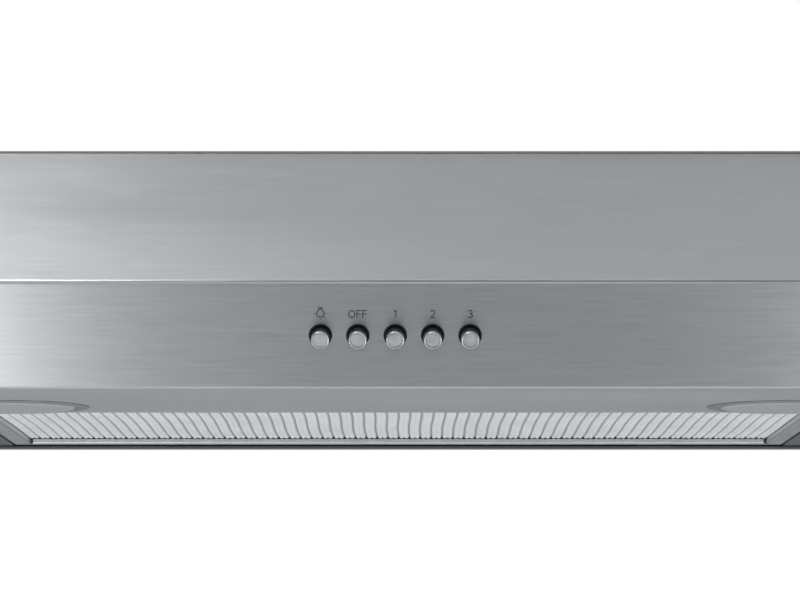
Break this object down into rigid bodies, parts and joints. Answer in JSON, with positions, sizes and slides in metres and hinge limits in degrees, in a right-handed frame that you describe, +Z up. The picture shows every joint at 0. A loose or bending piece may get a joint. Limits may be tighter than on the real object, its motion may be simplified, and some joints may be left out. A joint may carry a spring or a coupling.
{
  "type": "under cabinet range hood",
  "caption": "Under cabinet range hood with a sloped brushed steel front, push buttons, flush lamps, a tilting mesh grease filter, a blower and a top duct collar with a damper.",
  "frame": {"origin": "centre of the flat top face that is screwed up against the cabinet's floor", "axes": "+X to the right seen from the front, +Y back towards the wall, +Z up"},
  "size_m": [0.759, 0.5008, 0.1766],
  "materials": {
    "stainless": "brushed",
    "galvanised": "matte zinc spangle",
    "painted": "satin grey enamel",
    "aluminium": "satin",
    "button_cap": "satin",
    "bezel": "satin",
    "lens": "frosted",
    "black_plastic": "fine grain",
    "white_plastic": "matte",
    "impeller_plastic": "matte",
    "circuit": "solder mask",
    "spring_steel": "bright",
    "lead_jacket": "matte"
  },
  "bodies": {
    "hood": {"blower_scroll": "galvanised", "bottom_pan_left": "painted", "bottom_pan_right": "painted", "button_guide": "black_plastic", "button_spring_light": "spring_steel", "button_spring_off": "spring_steel", "button_spring_speed_1": "spring_steel", "button_spring_speed_2": "spring_steel", "button_spring_speed_3": "spring_steel", "cable_bushing": "black_plastic", "capacitor_clip": "galvanised", "damper_rod": "spring_steel", "duct_collar": "galvanised", "front_visor": "stainless", "inlet_ring_left": "galvanised", "inlet_ring_right": "galvanised", "lamp_bezel_left": "bezel", "lamp_bezel_right": "bezel", "lamp_board_left": "circuit", "lamp_board_right": "circuit", "lamp_housing_left": "galvanised", "lamp_housing_right": "galvanised", "lamp_lens_left": "lens", "lamp_lens_right": "lens", "lead_lamp_left": "lead_jacket", "lead_lamp_right": "lead_jacket", "lead_motor": "lead_jacket", "lead_switch": "lead_jacket", "led_driver": "white_plastic", "left_side_panel": "stainless", "motor_body": "spring_steel", "motor_bracket": "galvanised", "rear_duct_cover": "galvanised", "rear_panel": "painted", "right_side_panel": "stainless", "run_capacitor": "white_plastic", "scroll_cheek_left": "galvanised", "scroll_cheek_right": "galvanised", "switch_body": "black_plastic", "switch_bracket": "galvanised", "terminal_block": "white_plastic", "top_panel": "galvanised", "wiring_box": "galvanised", "wiring_box_cover": "galvanised"},
    "filter": {"filter_frame": "aluminium", "filter_mesh": "aluminium", "filter_back_mesh": "aluminium", "latch_spring_left": "spring_steel", "latch_spring_right": "spring_steel"},
    "filter_latch": {"filter_latch": "black_plastic"},
    "damper": {"damper_flap": "galvanised"},
    "rotor": {"rotor_shaft": "spring_steel", "impeller_left": "impeller_plastic", "impeller_right": "impeller_plastic"},
    "push_button_light": {"button_light": "button_cap"},
    "push_button_off": {"button_off": "button_cap"},
    "push_button_speed_1": {"button_speed_1": "button_cap"},
    "push_button_speed_2": {"button_speed_2": "button_cap"},
    "push_button_speed_3": {"button_speed_3": "button_cap"}
  },
  "joints": [
    {"name": "filter_tilt", "type": "hinge", "parent": "hood", "child": "filter", "pos_m": [0, 0.141, -0.1435], "axis": [1, 0, 0], "range_deg": [0, 80]},
    {"name": "filter_latch_slide", "type": "slide", "parent": "filter", "child": "filter_latch", "axis": [0, 1, 0], "range_m": [0, 0.004], "stiffness_N_per_m": 400, "springref_m": -0.004, "deforming": ["latch_spring_left", "latch_spring_right"]},
    {"name": "damper_swing", "type": "hinge", "parent": "hood", "child": "damper", "pos_m": [0, 0.067, 0.006], "axis": [1, 0, 0], "range_deg": [0, 70]},
    {"name": "blower_spin", "type": "hinge", "parent": "hood", "child": "rotor", "pos_m": [0, 0.07, -0.068], "axis": [1, 0, 0], "continuous": true},
    {"name": "push_light", "type": "slide", "parent": "hood", "child": "push_button_light", "axis": [0, 0.937, 0.3493], "range_m": [0, 0.0035], "stiffness_N_per_m": 400, "springref_m": -0.004, "deforming": ["button_spring_light"]},
    {"name": "push_off", "type": "slide", "parent": "hood", "child": "push_button_off", "axis": [0, 0.937, 0.3493], "range_m": [0, 0.0035], "stiffness_N_per_m": 400, "springref_m": -0.004, "deforming": ["button_spring_off"]},
    {"name": "push_speed_1", "type": "slide", "parent": "hood", "child": "push_button_speed_1", "axis": [0, 0.937, 0.3493], "range_m": [0, 0.0035], "stiffness_N_per_m": 400, "springref_m": -0.004, "deforming": ["button_spring_speed_1"]},
    {"name": "push_speed_2", "type": "slide", "parent": "hood", "child": "push_button_speed_2", "axis": [0, 0.937, 0.3493], "range_m": [0, 0.0035], "stiffness_N_per_m": 400, "springref_m": -0.004, "deforming": ["button_spring_speed_2"]},
    {"name": "push_speed_3", "type": "slide", "parent": "hood", "child": "push_button_speed_3", "axis": [0, 0.937, 0.3493], "range_m": [0, 0.0035], "stiffness_N_per_m": 400, "springref_m": -0.004, "deforming": ["button_spring_speed_3"]}
  ]
}
